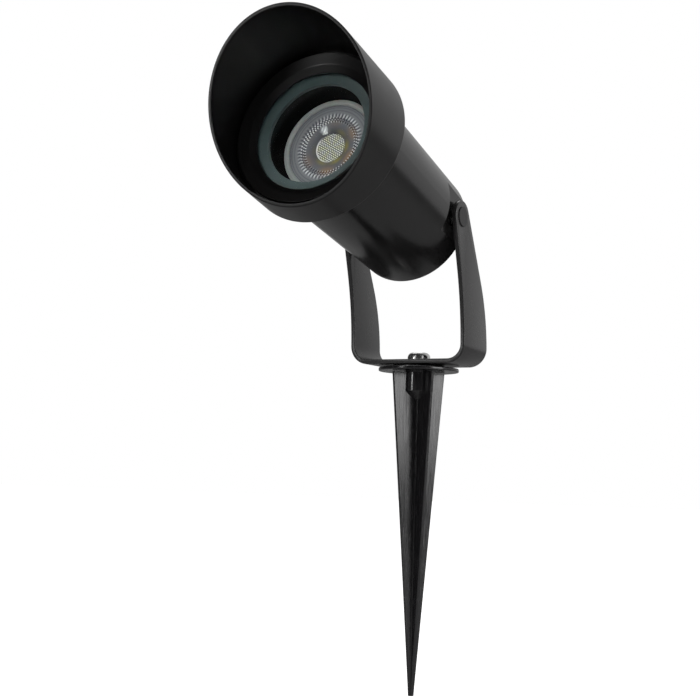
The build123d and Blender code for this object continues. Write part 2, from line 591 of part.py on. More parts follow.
with BuildPart() as gland_nut:
    turned([(CABLE_R + 0.8, NOSE - 2.2), (GLAND_HEX - 1.6, NOSE - 2.2), (GLAND_HEX - 0.2, NOSE - 0.6),
            (GLAND_HEX - 0.2, COLLAR - 0.1), (GLAND_R + 0.35, COLLAR - 0.1), (GLAND_R + 0.35, NOSE - 0.65),
            (CABLE_R + 0.8, NOSE - 0.65)])
    with BuildSketch(HEAD.offset(COLLAR - 0.1)):
        RegularPolygon(radius=GLAND_HEX, side_count=6, major_radius=False)
        Circle(GLAND_HEX - 0.4, mode=Mode.SUBTRACT)
    extrude(amount=-3.0)
gland_nut.part.label = "gland_nut"

# ---- write one file per sub-part ---------------------------------------------------------
PIECES = [
    ground_spike, spike_insert, base_screw, bracket, pivot_screws, pivot_caps, pivot_washers,
    head_body, body_seal, glass_gasket, front_glass, glass_ring, glare_shield,
    lamp_housing, lamp_bezel, lamp_lens, lamp_board, lamp_leds, lamp_driver, lamp_base, lamp_pins,
    lamp_holder, holder_contacts, holder_strap, holder_screws, strap_screws,
    terminal_block, terminal_screws, lead_live, lead_neutral, lead_earth, earth_screw, earth_tag,
    gland_body, gland_washer, gland_locknut, gland_seal, gland_nut,
]
os.makedirs("parts", exist_ok=True)
for piece in PIECES:
    export_step(piece.part, f"parts/{piece.part.label}.step")
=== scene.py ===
# %% [markdown]
# # A garden spike spotlight
# The CAD model gives every rigid piece at its real size, already in place. This lesson gives them their
# finishes, and remakes the pieces whose edges catch the light: a real powder-coated edge is rounded by a
# few tenths of a millimetre, and that thin roll is what draws the bright lines in a product photograph.
# Lengths are written in millimetres, as on a drawing, and turned into metres where a mesh is made.

import json
import math

import bmesh
import bpy
import numpy as np
from mathutils import Matrix, Vector


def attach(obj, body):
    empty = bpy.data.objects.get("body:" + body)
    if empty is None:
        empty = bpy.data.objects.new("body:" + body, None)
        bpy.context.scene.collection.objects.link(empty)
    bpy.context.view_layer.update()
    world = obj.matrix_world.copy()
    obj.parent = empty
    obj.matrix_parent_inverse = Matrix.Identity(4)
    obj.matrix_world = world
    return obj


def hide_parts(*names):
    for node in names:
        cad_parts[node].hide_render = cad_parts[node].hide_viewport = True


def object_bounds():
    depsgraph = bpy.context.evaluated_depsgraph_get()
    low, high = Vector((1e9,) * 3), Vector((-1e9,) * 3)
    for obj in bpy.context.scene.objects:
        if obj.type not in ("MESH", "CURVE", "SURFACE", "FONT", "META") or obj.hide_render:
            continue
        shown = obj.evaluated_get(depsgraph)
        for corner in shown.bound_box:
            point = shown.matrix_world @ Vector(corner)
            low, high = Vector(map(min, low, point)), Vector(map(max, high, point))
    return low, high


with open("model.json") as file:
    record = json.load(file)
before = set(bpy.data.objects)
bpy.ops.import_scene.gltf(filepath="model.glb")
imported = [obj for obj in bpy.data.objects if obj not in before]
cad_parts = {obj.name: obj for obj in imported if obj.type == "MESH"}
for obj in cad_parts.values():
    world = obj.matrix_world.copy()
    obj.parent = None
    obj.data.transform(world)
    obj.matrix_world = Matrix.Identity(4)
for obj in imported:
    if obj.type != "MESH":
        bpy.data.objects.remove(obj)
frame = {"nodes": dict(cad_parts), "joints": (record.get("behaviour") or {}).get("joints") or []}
cad_low, cad_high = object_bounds()
nodes = frame["nodes"]
MM = 0.001
print("CAD box in mm:", [round(v / MM, 1) for v in (*cad_low, *cad_high)])

# %% [markdown]
# ## The head's own frame
# The head is tilted, so its pieces are easiest to draw about its own axis. The frame's joints say where it
# is: the tilt hinge gives a point on it, and the shield's hinge gives its direction. A place on the head is
# then a radius, a turn about the axis and a station along it.

# %% Stations along the head's axis
joints = {joint["name"]: joint for joint in frame["joints"]}
pivot = np.array(joints["head_tilt"]["pos_m"]) / MM
ahead = np.array(joints["shield_turn"]["axis"])
ahead = ahead / np.linalg.norm(ahead)
across = np.array([1.0, 0.0, 0.0])
upward = np.cross(ahead, across)


def head_place(side, rise, station):
    """Points in metres at side across, rise above and station along the head's axis, all in millimetres."""
    side, rise, station = np.broadcast_arrays(side, rise, station)
    return (pivot + side[..., None] * across + rise[..., None] * upward + station[..., None] * ahead) * MM


def around(radius, turn, station):
    """The same, from a radius and a turn in radians about the axis, where turn 0 is +X."""
    return head_place(radius * np.cos(turn), radius * np.sin(turn), station)


def reach(node):
    """A CAD node's radius from the head's axis, and its first and last stations, in millimetres."""
    points = np.array([v.co for v in nodes[node].data.vertices]) / MM - pivot
    station = points @ ahead
    radius = np.linalg.norm(points - station[:, None] * ahead, axis=1)
    return radius.max(), station.min(), station.max()


ring_r, ring_rear, ring_edge = reach("glass_ring")
glass_r, glass_rear, glass_front = reach("front_glass")
shield_r, shield_rear = reach("glare_shield")[:2]
lamp_r, bezel_rear, lamp_face = reach("lamp_bezel")
print(f"Ring: radius {ring_r:.2f} mm, stations {ring_rear:.2f} to {ring_edge:.2f} mm")
print(f"Glass: radius {glass_r:.2f} mm, stations {glass_rear:.2f} to {glass_front:.2f} mm")
print(f"Shield: radius {shield_r:.2f} mm from station {shield_rear:.2f} mm")
print(f"Lamp: radius {lamp_r:.2f} mm, its rim's face at station {lamp_face:.2f} mm")

# %% [markdown]
# ## Surfaces from formulas
# A surface here is a grid of points worked out by numpy as whole arrays: rows run along a profile, and
# columns run round an axis. `skin` turns such a grid into a mesh, joining neighbours with four-sided faces.
# A row that lies in one point, as on the axis of a disc, is merged into a pole, and the faces are turned out.

# %% Turn a grid of points into a mesh
CREASE = math.radians(38)            # edges sharper than this stay sharp in the shading
SAME_PLACE = 2e-6                    # points nearer than this, in metres, are one point
NO_LENGTH = 1e-7


def skin(name, grid, ring_rows=True, ring_columns=True, material=None):
    """A mesh piece from a (rows, columns, 3) array of points in metres.

    Each point is joined to the next in its row and in its column, and in a ring the last to the first.
    """
    rows, columns = grid.shape[:2]
    index = np.arange(rows * columns).reshape(rows, columns)
    right, down = np.roll(index, -1, 1), np.roll(index, -1, 0)
    quads = np.stack([index, right, np.roll(down, -1, 1), down], -1)
    quads = quads[: rows if ring_rows else rows - 1, : columns if ring_columns else columns - 1]
    mesh = bpy.data.meshes.new(name)
    mesh.from_pydata(grid.reshape(-1, 3).tolist(), [], quads.reshape(-1, 4).tolist())
    return clean(name, mesh, material)


def clean(name, mesh, material=None):
    """Merge poles, drop faces with no area, turn the faces outwards and shade smoothly between creases."""
    shape = bmesh.new()
    shape.from_mesh(mesh)
    bmesh.ops.remove_doubles(shape, verts=shape.verts, dist=SAME_PLACE)
    bmesh.ops.dissolve_degenerate(shape, edges=shape.edges, dist=NO_LENGTH)
    loose = [edge for edge in shape.edges if not edge.link_faces]
    bmesh.ops.delete(shape, geom=loose, context="EDGES")
    bmesh.ops.recalc_face_normals(shape, faces=shape.faces)
    shape.to_mesh(mesh)
    shape.free()
    mesh.shade_smooth()
    mesh.set_sharp_from_angle(angle=CREASE)
    piece = bpy.data.objects.new(name, mesh)
    bpy.context.scene.collection.objects.link(piece)
    if material is not None:
        mesh.materials.append(material)
    return piece


# %% [markdown]
# ## Rounded outlines
# Each corner of a profile is cut back by a small length and bridged with a curve: the quadratic Bezier
# curve that has the corner as its middle control point. One more point on each side of it keeps the flat
# beside it flat-shaded, because the smooth shading then ends on a narrow face and not on the wide one.

# %% Soften the corners of an outline
GUARD = 1.5                          # the extra points stand this many cuts from the corner


def softened(corners, cut, steps=5):
    """A closed outline with every corner rounded, by one cut for all or by a list with one for each.

    The curve is (1-t)^2 back + 2t(1-t) corner + t^2 on, for t from 0 to 1, where back and on are the
    points one cut before and one cut after the corner.
    """
    corner = np.array(corners, float)
    back = np.roll(corner, 1, 0) - corner
    on = np.roll(corner, -1, 0) - corner
    back /= np.linalg.norm(back, axis=1)[:, None]
    on /= np.linalg.norm(on, axis=1)[:, None]
    cut = np.broadcast_to(np.asarray(cut, float), len(corner))[:, None, None]
    t = np.linspace(0, 1, steps)[None, :, None]
    corner, back, on = corner[:, None], back[:, None], on[:, None]
    curve = (1 - t) ** 2 * (corner + back * cut) + 2 * t * (1 - t) * corner + t**2 * (corner + on * cut)
    guards = GUARD * cut
    return np.concatenate([corner + back * guards, curve, corner + on * guards], 1).reshape(-1, 2)


def spun(name, outline, material, closed=True, sides=224):
    """An outline of (radius, station) points carried once around the head's axis."""
    turn = np.linspace(0, 2 * math.pi, sides, endpoint=False)
    grid = around(outline[:, 0][:, None], turn[None], outline[:, 1][:, None])
    return skin(name, grid, ring_rows=closed, material=material)


# %% [markdown]
# ## Finishes as small node trees
# Every finish starts from one Principled shader. Plain numbers go straight onto its sockets, and only what
# varies over the surface gets nodes: a fine bump for texture, and noise that shifts the roughness a little.
# Object coordinates keep the grain the same size on every piece, whatever its shape.

# %% Helpers for materials
def finish(name, color, rough, **sockets):
    """A Principled material with its fixed values on its own sockets."""
    material = bpy.data.materials.new(name)
    material.use_nodes = True
    shader = material.node_tree.nodes["Principled BSDF"]
    shader.inputs["Base Color"].default_value = (*color, 1)
    shader.inputs["Roughness"].default_value = rough
    for socket, value in sockets.items():
        shader.inputs[socket.replace("_", " ")].default_value = value
    return material


def node(material, kind, links=(), **values):
    """Add a node. links maps its input names to outputs of other nodes, and values sets its properties."""
    made = material.node_tree.nodes.new(kind)
    for key, value in values.items():
        if key in made.inputs:
            made.inputs[key].default_value = value
        else:
            setattr(made, key, value)
    for socket, output in dict(links).items():
        material.node_tree.links.new(output, made.inputs[socket])
    return made


def noise(material, size_mm, detail=3.0, stretch=(1, 1, 1)):
    """The output of a noise whose grain is about size_mm across, on Object coordinates."""
    place = node(material, "ShaderNodeTexCoord")
    scaled = node(material, "ShaderNodeMapping", {"Vector": place.outputs["Object"]}, Scale=stretch)
    grain = node(material, "ShaderNodeTexNoise", {"Vector": scaled.outputs[0]}, Scale=1 / (size_mm * MM),
                 Detail=detail)
    return grain.outputs[0]


def spread(material, source, low, high, start=0.3, end=0.7):
    """Map a noise's middle range onto low to high."""
    return node(material, "ShaderNodeMapRange", {"Value": source}, **{
        "From Min": start, "From Max": end, "To Min": low, "To Max": high}).outputs[0]


def plug(material, output, socket):
    """Link an output to a socket of the material's shader."""
    material.node_tree.links.new(output, material.node_tree.nodes["Principled BSDF"].inputs[socket])


def bumped(material, height, depth_mm, strength=1.0):
    """Feed a height into the shader's normal, as a real depth in millimetres."""
    bump = node(material, "ShaderNodeBump", {"Height": height}, Strength=strength, Distance=depth_mm * MM)
    plug(material, bump.outputs[0], "Normal")


def tinted(material, factor, first, second):
    """Blend two colours by a factor and use them as the base colour."""
    blend = node(material, "ShaderNodeMix", data_type="RGBA")
    material.node_tree.links.new(factor, blend.inputs["Factor"])
    blend.inputs["A"].default_value = (*first, 1)
    blend.inputs["B"].default_value = (*second, 1)
    plug(material, blend.outputs["Result"], "Base Color")


# %% [markdown]
# ## Powder coat
# Powder coat is paint melted onto the metal. It lies slightly wavy, like very fine orange peel, with waves
# a few tenths of a millimetre long, and its sheen is satin. The waves are only about a micron high, so the
# bump is shallow, and a broader noise lets the sheen drift as it does on a sprayed surface. The bracket's
# coat is greyer than the head's.

# %% Powder coat
def powder_coat(name, color, rough, peel_mm=0.35, depth_mm=0.0012):
    """Satin paint whose roughness and tint drift with a broad noise, and whose normal follows a fine one."""
    coat = finish(name, color, rough, Specular_IOR_Level=0.5)
    drift = noise(coat, 14, 2)
    peel = noise(coat, peel_mm, 4)
    plug(coat, spread(coat, drift, rough - 0.02, rough + 0.02), "Roughness")
    tinted(coat, drift, [c * 0.9 for c in color], [c * 1.12 for c in color])
    bumped(coat, peel, depth_mm)
    return coat


body_coat = powder_coat("satin_black_casting", (0.0040, 0.0037, 0.0038), 0.2)
shield_coat = powder_coat("satin_black_shield", (0.0036, 0.0033, 0.0034), 0.3)
strap_coat = powder_coat("satin_black_strap", (0.0195, 0.0188, 0.0192), 0.28, 0.3, 0.0005)
print("Coats:", body_coat.name, shield_coat.name, strap_coat.name)

# %% [markdown]
# ## Moulded plastic
# The spike is a glossy black moulding. Its faces carry long, shallow waves where the plastic shrank in the
# mould, and these break up the reflections. Fine rubbed streaks run along it, greyer and duller than the
# rest: both come from one noise that is stretched twenty times along Z. The caps and the cable gland are
# finely grained nylon, and the seals are rubber with a faint bloom.

# %% Black plastics
spike_plastic = finish("glossy_black_plastic", (0.012, 0.0115, 0.0125), 0.2, Specular_IOR_Level=0.6)
sink = noise(spike_plastic, 9, 2, (1, 1, 0.25))
rub = noise(spike_plastic, 0.5, 5, (1, 1, 0.05))     # twenty times longer than wide
plug(spike_plastic, spread(spike_plastic, rub, 0.10, 0.30), "Roughness")
scuffs = spread(spike_plastic, rub, 0.0, 1.0, 0.48, 0.75)
tinted(spike_plastic, scuffs, (0.011, 0.0105, 0.0115), (0.028, 0.027, 0.029))
bumped(spike_plastic, sink, 0.09, 0.6)

nylon = finish("fine_matt_nylon", (0.016, 0.0155, 0.016), 0.5)
nylon_grain = noise(nylon, 0.15, 4)
bumped(nylon, nylon_grain, 0.004)
plug(nylon, spread(nylon, nylon_grain, 0.44, 0.58), "Roughness")

rubber = finish("black_rubber", (0.014, 0.014, 0.014), 0.62)
rubber_bloom = noise(rubber, 2.5, 4)
tinted(rubber, rubber_bloom, (0.011, 0.011, 0.011), (0.02, 0.02, 0.02))
bumped(rubber, rubber_bloom, 0.01)
print("Plastics:", spike_plastic.name, nylon.name, rubber.name)

# %% [markdown]
# ## Metals
# Zinc plating is a cool, slightly cloudy silver, brass is warm, and nickel is brighter than both. A metal's
# colour is the colour of its reflections, so the tint goes in the base colour and Metallic is 1. One noise
# makes the clouds in tint and sheen.

# %% Plated steel, brass and nickel
def plated(name, color, rough, cloud_mm, depth_mm):
    """A metal whose tint, roughness and surface all follow one noise of clouds."""
    metal = finish(name, color, rough, Metallic=1.0)
    cloud = noise(metal, cloud_mm, 4)
    plug(metal, spread(metal, cloud, rough - 0.08, rough + 0.1), "Roughness")
    tinted(metal, cloud, [c * 0.86 for c in color], color)
    bumped(metal, cloud, depth_mm)
    return metal


zinc = plated("zinc_plated_steel", (0.74, 0.74, 0.73), 0.24, 1.2, 0.004)
brass = plated("turned_brass", (0.70, 0.50, 0.22), 0.3, 0.8, 0.004)
nickel = plated("bright_nickel", (0.72, 0.71, 0.68), 0.16, 1.5, 0.002)
print("Metals:", zinc.name, brass.name, nickel.name)

# %% [markdown]
# ## Glass and silicone
# The front glass is clear, with a very faint green cast and a thin film of dust that shifts its roughness.
# The gasket behind it is milky blue-grey silicone. A piece that is half transparent comes out grainy behind
# glass, because each ray meets it or misses it by chance. So the gasket is nearly opaque, and a cloudy tint
# and a soft sheen make it silicone. The lamp's optic is clear plastic, and it is a lens: what shows on it
# is what it gathers from the chips and the room. That can't be read off its own colour, so an attribute on
# its mesh, which is worked out with its shape, holds painted light: how bright each place is, with painted
# highlights, painted shade and the chips' painted glow.

# %% Clear and translucent finishes
clear_glass = finish("clear_front_glass", (0.97, 1.0, 0.99), 0.0, Transmission_Weight=1.0, IOR=1.5)
film = noise(clear_glass, 6, 3)
plug(clear_glass, spread(clear_glass, film, 0.0, 0.02), "Roughness")

silicone = finish("blue_grey_silicone", (0.046, 0.07, 0.072), 0.4, Alpha=0.92, Specular_IOR_Level=0.8)
cloudy = noise(silicone, 4, 3)
tinted(silicone, cloudy, (0.043, 0.066, 0.068), (0.049, 0.074, 0.076))
plug(silicone, spread(silicone, cloudy, 0.34, 0.46), "Roughness")

lens_plastic = finish("clear_optic", (0.86, 0.88, 0.86), 0.08, Transmission_Weight=0.12, IOR=1.49)
haze = noise(lens_plastic, 0.6, 3)
plug(lens_plastic, spread(lens_plastic, haze, 0.07, 0.12), "Roughness")
# the optic's base colour is painted light: highlights, shade and the chips' glow
glints = node(lens_plastic, "ShaderNodeAttribute", attribute_name="glint")
plug(lens_plastic, glints.outputs["Color"], "Base Color")
print("Clear finishes:", clear_glass.name, silicone.name, lens_plastic.name)

# %% [markdown]
# ## The lamp's own finishes
# The lamp's shell is pale grey plastic. Behind its optic lie a white board and yellow LED chips: the yellow
# is a phosphor that sits over a blue LED. The holder is glazed ceramic, and the leads are brown, blue and
# green sleeves. All these are smooth mouldings, so one helper makes them, with a faint grain in tint,
# roughness and surface.

# %% Lamp finishes
def moulded(name, color, rough, grain_mm=0.4, depth_mm=0.003, **sockets):
    """A smooth moulding whose tint, roughness and surface follow one fine noise."""
    plastic = finish(name, color, rough, **sockets)
    grain = noise(plastic, grain_mm, 3)
    tinted(plastic, grain, [c * 0.93 for c in color], [min(1, c * 1.05) for c in color])
    plug(plastic, spread(plastic, grain, rough - 0.04, rough + 0.06), "Roughness")
    bumped(plastic, grain, depth_mm)
    return plastic


lamp_shell = moulded("pale_lamp_shell", (0.35, 0.355, 0.345), 0.34, Subsurface_Weight=0.15,
                     Subsurface_Scale=0.001)
board_white = moulded("white_board", (0.68, 0.68, 0.66), 0.4)
phosphor = moulded("yellow_phosphor", (0.85, 0.62, 0.12), 0.35, 0.1)
driver_green = moulded("green_board", (0.03, 0.16, 0.07), 0.35)
ceramic = moulded("glazed_ceramic", (0.66, 0.62, 0.54), 0.22, 1.5)
block_white = moulded("white_nylon", (0.66, 0.66, 0.63), 0.42)
lead_brown = moulded("brown_sleeve", (0.13, 0.05, 0.022), 0.45)
lead_blue = moulded("blue_sleeve", (0.02, 0.08, 0.30), 0.45)
lead_green = moulded("green_sleeve", (0.09, 0.34, 0.05), 0.45)

# %% [markdown]
# ## Which piece has which finish
# Every CAD node gets its finish by the material slot of its mesh. Most of them keep their drawn shape. The
# ones that are remade below hand their place and their finish to the new piece.

# %% Finishes of the CAD nodes
CARRIED = {
    "head_body": body_coat, "bracket": strap_coat, "ground_spike": spike_plastic, "glass_ring": shield_coat,
    "glare_shield": shield_coat, "pivot_caps": nylon, "pivot_screws": zinc, "pivot_washers": zinc,
    "base_screw": zinc, "spike_insert": brass, "body_seal": rubber, "glass_gasket": silicone,
    "front_glass": clear_glass, "lamp_housing": lamp_shell, "lamp_bezel": lamp_shell,
    "lamp_lens": lens_plastic, "lamp_board": board_white, "lamp_leds": phosphor,
    "lamp_driver": driver_green, "lamp_base": lamp_shell, "lamp_pins": nickel, "lamp_holder": ceramic,
    "holder_contacts": brass, "holder_strap": zinc, "holder_screws": zinc, "strap_screws": zinc,
    "terminal_block": block_white, "terminal_screws": zinc, "lead_live": lead_brown,
    "lead_neutral": lead_blue, "lead_earth": lead_green, "earth_screw": brass, "earth_tag": nickel,
    "gland_body": nylon, "gland_washer": rubber, "gland_locknut": nylon, "gland_seal": rubber,
    "gland_nut": nylon,
}
for name, material in CARRIED.items():
    slots = nodes[name].data.materials
    slots.clear()
    slots.append(material)
print(len(CARRIED), "of", len(nodes), "CAD nodes have their finish")


def stand_in(piece, cad_node, body):
    """The remade piece takes the CAD node's place on its body, and the CAD node is hidden."""
    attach(piece, body)
    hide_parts(cad_node)
    print(piece.name, "has", len(piece.data.polygons), "faces")


# %% [markdown]
# ## Rolled edges
# The bracket is blasted before it is coated, so no edge of it is a knife edge, and neither is the head of the
# screw. A copy of each drawn mesh is merged, its flat faces are joined, and every crease sharper than a set
# angle is cut back and bridged by a few narrow faces. The drawn meshes themselves stay as they are.

# %% Roll the edges of a copy
FLAT = math.radians(0.4)             # faces that meet at less than this are one flat face
ROLLED_FROM = math.radians(30)       # creases sharper than this are rolled
ROLLED_CREASE = math.radians(18)     # and edges sharper than this stay sharp in the shading
ROLL_STEPS = 4
SHARED_CORNER = 1e-6                 # metres between corners of drawn triangles that are one corner


def rolled(piece, cad_node, width, material):
    """A merged copy of a CAD node with its creases cut back by width in millimetres and bridged."""
    shape = bmesh.new()
    shape.from_mesh(nodes[cad_node].data)
    bmesh.ops.remove_doubles(shape, verts=shape.verts, dist=SHARED_CORNER)
    bmesh.ops.dissolve_limit(shape, angle_limit=FLAT, verts=shape.verts, edges=shape.edges)
    creases = [edge for edge in shape.edges
               if len(edge.link_faces) == 2 and edge.calc_face_angle() > ROLLED_FROM]
    bmesh.ops.bevel(shape, geom=creases, offset=width * MM, offset_type="OFFSET", segments=ROLL_STEPS,
                    profile=0.5, affect="EDGES", clamp_overlap=False, harden_normals=False)
    mesh = bpy.data.meshes.new(piece)
    shape.to_mesh(mesh)
    shape.free()
    mesh.shade_smooth()
    mesh.set_sharp_from_angle(angle=ROLLED_CREASE)
    made = bpy.data.objects.new(piece, mesh)
    bpy.context.scene.collection.objects.link(made)
    mesh.materials.append(material)
    return made


stand_in(rolled("bracket_rolled", "bracket", 0.4, strap_coat), "bracket", "bracket")
stand_in(rolled("base_screw_rolled", "base_screw", 0.25, zinc), "base_screw", "spike")

# %% [markdown]
# ## Ground spike
# The spike is two surfaces in one moulding. The flange with its hub and boss is a profile spun round the
# upright axis. The ribs are a cross-shaped outline carried down to the tip: every row of the grid is the
# same cross, but its arms reach less far the deeper it lies, so the ribs taper while their thickness stays.
# The last rows close the tip in a blunt point.

# %% Flange, hub and boss
HUB_R = 14.3
HUB_TOP = 3.2
FLANGE_T = 1.9
FLANGE_R = 22.0
BOSS_R = 8.0
BOSS_BOTTOM = -10.8                  # where the boss starts to close in a cone
BOSS_CONE = 4.6
SOCKET_R = 4.4
SOCKET_FLOOR = -8.0
FLANGE_SIDES = 160
cone_z = BOSS_BOTTOM - BOSS_CONE
flange_outline = softened([
    (SOCKET_R, SOCKET_FLOOR), (SOCKET_R, HUB_TOP), (HUB_R, HUB_TOP), (HUB_R, FLANGE_T), (FLANGE_R, FLANGE_T),
    (FLANGE_R, 0), (BOSS_R, 0), (BOSS_R, BOSS_BOTTOM), (BOSS_R - BOSS_CONE, cone_z), (0, cone_z),
    (0, SOCKET_FLOOR)], [0.1, 0.2, 0.5, 0.2, 0.6, 0.6, 0.35, 0.25, 0.2, 0, 0])
radius, height = flange_outline[:, :1], flange_outline[:, 1:]
turn = np.linspace(0, 2 * math.pi, FLANGE_SIDES, endpoint=False)[None]
flange_grid = np.stack(np.broadcast_arrays(radius * np.cos(turn), radius * np.sin(turn), height), -1)
flange = skin("spike_flange", flange_grid * MM)
print("The flange's outline has", len(flange_outline), "points")

# %% Ribs down to the tip
RIB_HALF = 0.8                       # half of a rib's thickness
RIB_REACH = 16.0                     # how far a rib reaches from the axis at the flange
RIB_TOP = -0.3
RIB_TURN = math.radians(54)
RIB_HOLLOW = 0.5                     # radius of the hollow corner between two ribs
RIB_CUT = 0.35                       # how far the edges of a rib's end are rounded
TIP_REACH = 1.4
TIP_Z = -174.5
TIP_ROUND = 1.0
RIB_ROWS = 40
BLUNT_SHARE = np.array([1.0, 0.93, 0.75, 0.0])       # the last rows as shares of the last cross
BLUNT_RISE = np.array([0.35, 0.1, 0.0, 0.0])         # and how high they lie over the tip


def cross_outline(reach):
    """One row of the ribs for each reach: four arms, each a hollow corner, two flat sides and a rounded end.

    A point of an arm is along + i aside, a complex number, and times exp(i a) it turns by the arm's angle a.
    """
    hollow = np.minimum(RIB_HOLLOW, 0.5 * (reach - RIB_HALF))
    cut = np.minimum(RIB_CUT, 0.4 * (reach - RIB_HALF))
    side = np.full_like(reach, -RIB_HALF)
    middle = RIB_HALF + hollow
    sweep = np.radians([180, 157.5, 135, 112.5, 90])
    along = [middle + hollow * np.cos(a) for a in sweep]
    aside = [-middle + hollow * np.sin(a) for a in sweep]
    along += [reach - 1.6 * cut, reach - cut, reach - 0.3 * cut, reach, reach]
    aside += [side, side, side + 0.3 * cut, side + cut, side + 1.6 * cut]
    along += along[:4:-1]
    aside += [-a for a in aside[:4:-1]]
    arm = np.stack(along, 1) + 1j * np.stack(aside, 1)
    return np.concatenate([arm * np.exp(1j * (RIB_TURN + k * math.pi / 2)) for k in range(4)], 1)


depth = np.linspace(RIB_TOP, TIP_Z + TIP_ROUND, RIB_ROWS)
crosses = cross_outline(RIB_REACH + (TIP_REACH - RIB_REACH) * depth / TIP_Z)
rows = np.concatenate([0 * crosses[:1], crosses, crosses[-1:] * BLUNT_SHARE[:, None]])
depth = np.concatenate([[RIB_TOP], depth, TIP_Z + BLUNT_RISE])[:, None]
rib_grid = np.stack(np.broadcast_arrays(rows.real, rows.imag, depth), -1)
ribs = skin("spike_ribs", rib_grid * MM, ring_rows=False)
print("The ribs have", rows.shape[0], "rows of", rows.shape[1], "points")

# %% One moulding
with bpy.context.temp_override(active_object=ribs, object=ribs, selected_editable_objects=[ribs, flange]):
    bpy.ops.object.join()
ribs.name = "spike_moulded"
ribs.data.materials.clear()
ribs.data.materials.append(spike_plastic)
stand_in(ribs, "ground_spike", "spike")

# %% [markdown]
# ## Glare shield
# A thin tube with a flange at its rear, cut off by a slanted plane. One profile is carried round the axis,
# and the points of its rim slide along the axis as far as the plane asks at their own radius and turn. So
# the rolled edge of the rim stays evenly round all along the slant, which a cut made later wouldn't give.

# %% Glare shield
SHIELD_WALL = 1.6
MOUTH = 129.4                        # where the slanted plane crosses the axis
MOUTH_SLOPE = math.tan(math.radians(24.5))
MOUTH_TURN = math.radians(6.4)       # the long side stands this far round from the top
SHIELD_SEAT = 106.3                  # the tube is thicker behind this
SHIELD_FLANGE = 2.5
SHIELD_BORE = 33.4                   # radius of the hole in its flange, round the body
SHIELD_SIDES = 256
RING_GAP = 0.08

wall_inner = shield_r - SHIELD_WALL
tube_inner = ring_r + RING_GAP
shield_outline = softened([
    (SHIELD_BORE, shield_rear), (shield_r, shield_rear), (shield_r, MOUTH), (wall_inner, MOUTH),
    (wall_inner, SHIELD_SEAT), (tube_inner, SHIELD_SEAT), (tube_inner, shield_rear + SHIELD_FLANGE),
    (SHIELD_BORE, shield_rear + SHIELD_FLANGE)], [0.2, 0.7, 0.45, 0.35, 0.25, 0.25, 0.2, 0.2])
turn = np.linspace(0, 2 * math.pi, SHIELD_SIDES, endpoint=False)[None]
radius, station = shield_outline[:, :1], shield_outline[:, 1:]
slide = np.where(station > (SHIELD_SEAT + MOUTH) / 2, 1.0, 0.0)
slanted = station + slide * MOUTH_SLOPE * radius * np.sin(turn - MOUTH_TURN)
shield = skin("glare_shield_wall", around(radius, turn, slanted), material=shield_coat)
stand_in(shield, "glare_shield", "shield")

# %% [markdown]
# ## Glass ring, gasket and glass
# The ring screws over the end of the body and holds the glass by a narrow lip. Its front slopes away from
# the lip to a crisp edge. The gasket under the glass shows through it as a soft band. All three are spun
# from a profile. The glass has its profile's first and last points on the axis, where they close it.

# %% Glass ring, gasket and glass
RING_LIP_R = 31.04
RING_LIP_T = 0.65                    # the lip's front edge, over the glass
RING_BORE = 33.28
BEVEL_RUN = 3.2
BEVEL_TOP = 2.95
LIP_GAP = 0.05
GASKET_INNER_R = 26.0
lip_rear = glass_front + LIP_GAP
ring = spun("glass_ring_turned", softened([
    (RING_BORE, ring_rear), (ring_r, ring_rear), (ring_r, ring_edge),
    (RING_LIP_R + BEVEL_RUN, glass_front + BEVEL_TOP), (RING_LIP_R, glass_front + RING_LIP_T),
    (RING_LIP_R, lip_rear), (RING_BORE, lip_rear)], [0.3, 0.3, 0.3, 0.4, 0.12, 0.12, 0.2]), shield_coat)
stand_in(ring, "glass_ring", "head")

gasket_r, gasket_rear, gasket_front = reach("glass_gasket")
gasket = spun("glass_gasket_moulded", softened([
    (GASKET_INNER_R, gasket_rear), (gasket_r, gasket_rear), (gasket_r, gasket_front),
    (GASKET_INNER_R, gasket_front)], 0.35), silicone)
stand_in(gasket, "glass_gasket", "head")

glass = spun("front_glass_polished", softened([
    (0, glass_rear), (glass_r, glass_rear), (glass_r, glass_front), (0, glass_front)], [0, 0.5, 0.5, 0]),
    clear_glass, closed=False)
stand_in(glass, "front_glass", "head")

# %% [markdown]
# ## Lamp rim
# The lamp's rim is a pale ring with a narrow groove in its face and a slope down to the optic. The groove
# is less than a millimetre wide, but its shadow is what parts the rim from the optic in the photograph.

# %% Lamp rim
BEZEL_INNER = 22.3
BEZEL_SLOPE = 0.4                    # how far the face has sunk where the optic begins
GROOVE_INNER = 23.2
GROOVE_OUTER = 24.1
GROOVE_DEPTH = 0.35
GROOVE_LEAN = 0.1
groove_floor = lamp_face - GROOVE_DEPTH
bezel = spun("lamp_rim", softened([
    (BEZEL_INNER, bezel_rear), (lamp_r, bezel_rear), (lamp_r, lamp_face), (GROOVE_OUTER, lamp_face),
    (GROOVE_OUTER - GROOVE_LEAN, groove_floor), (GROOVE_INNER + GROOVE_LEAN, groove_floor),
    (GROOVE_INNER, lamp_face - GROOVE_LEAN), (BEZEL_INNER, lamp_face - BEZEL_SLOPE)],
    [0.1, 0.2, 0.35, 0.1, 0.08, 0.08, 0.08, 0.3]), lamp_shell)
stand_in(bezel, "lamp_bezel", "lamp")

# %% [markdown]
# ## Shape of the optic
# The optic is one moulding with four zones: a honeycomb eye in the middle, a smooth cup round it, a band of
# fine radial prisms with rows of small beads inside it, and a flat edge. Each zone is a height over the
# disc, written as a formula of the radius and the turn, and the whole front is one surface.

# %% Shape of the optic
optic_r, optic_rear = reach("lamp_lens")[:2]
EYE_R = 7.6
CUP_R = 13.3
PRISM_R = 18.4
PRISMS = 56
CELL = 1.25                          # honeycomb cells, centre to centre
EYE_LEVEL = -2.5                     # heights of the zones against the rim's face
CUP_LEVEL = -2.1
BAND_LEVEL = -1.1
EDGE_LEVEL = -0.75


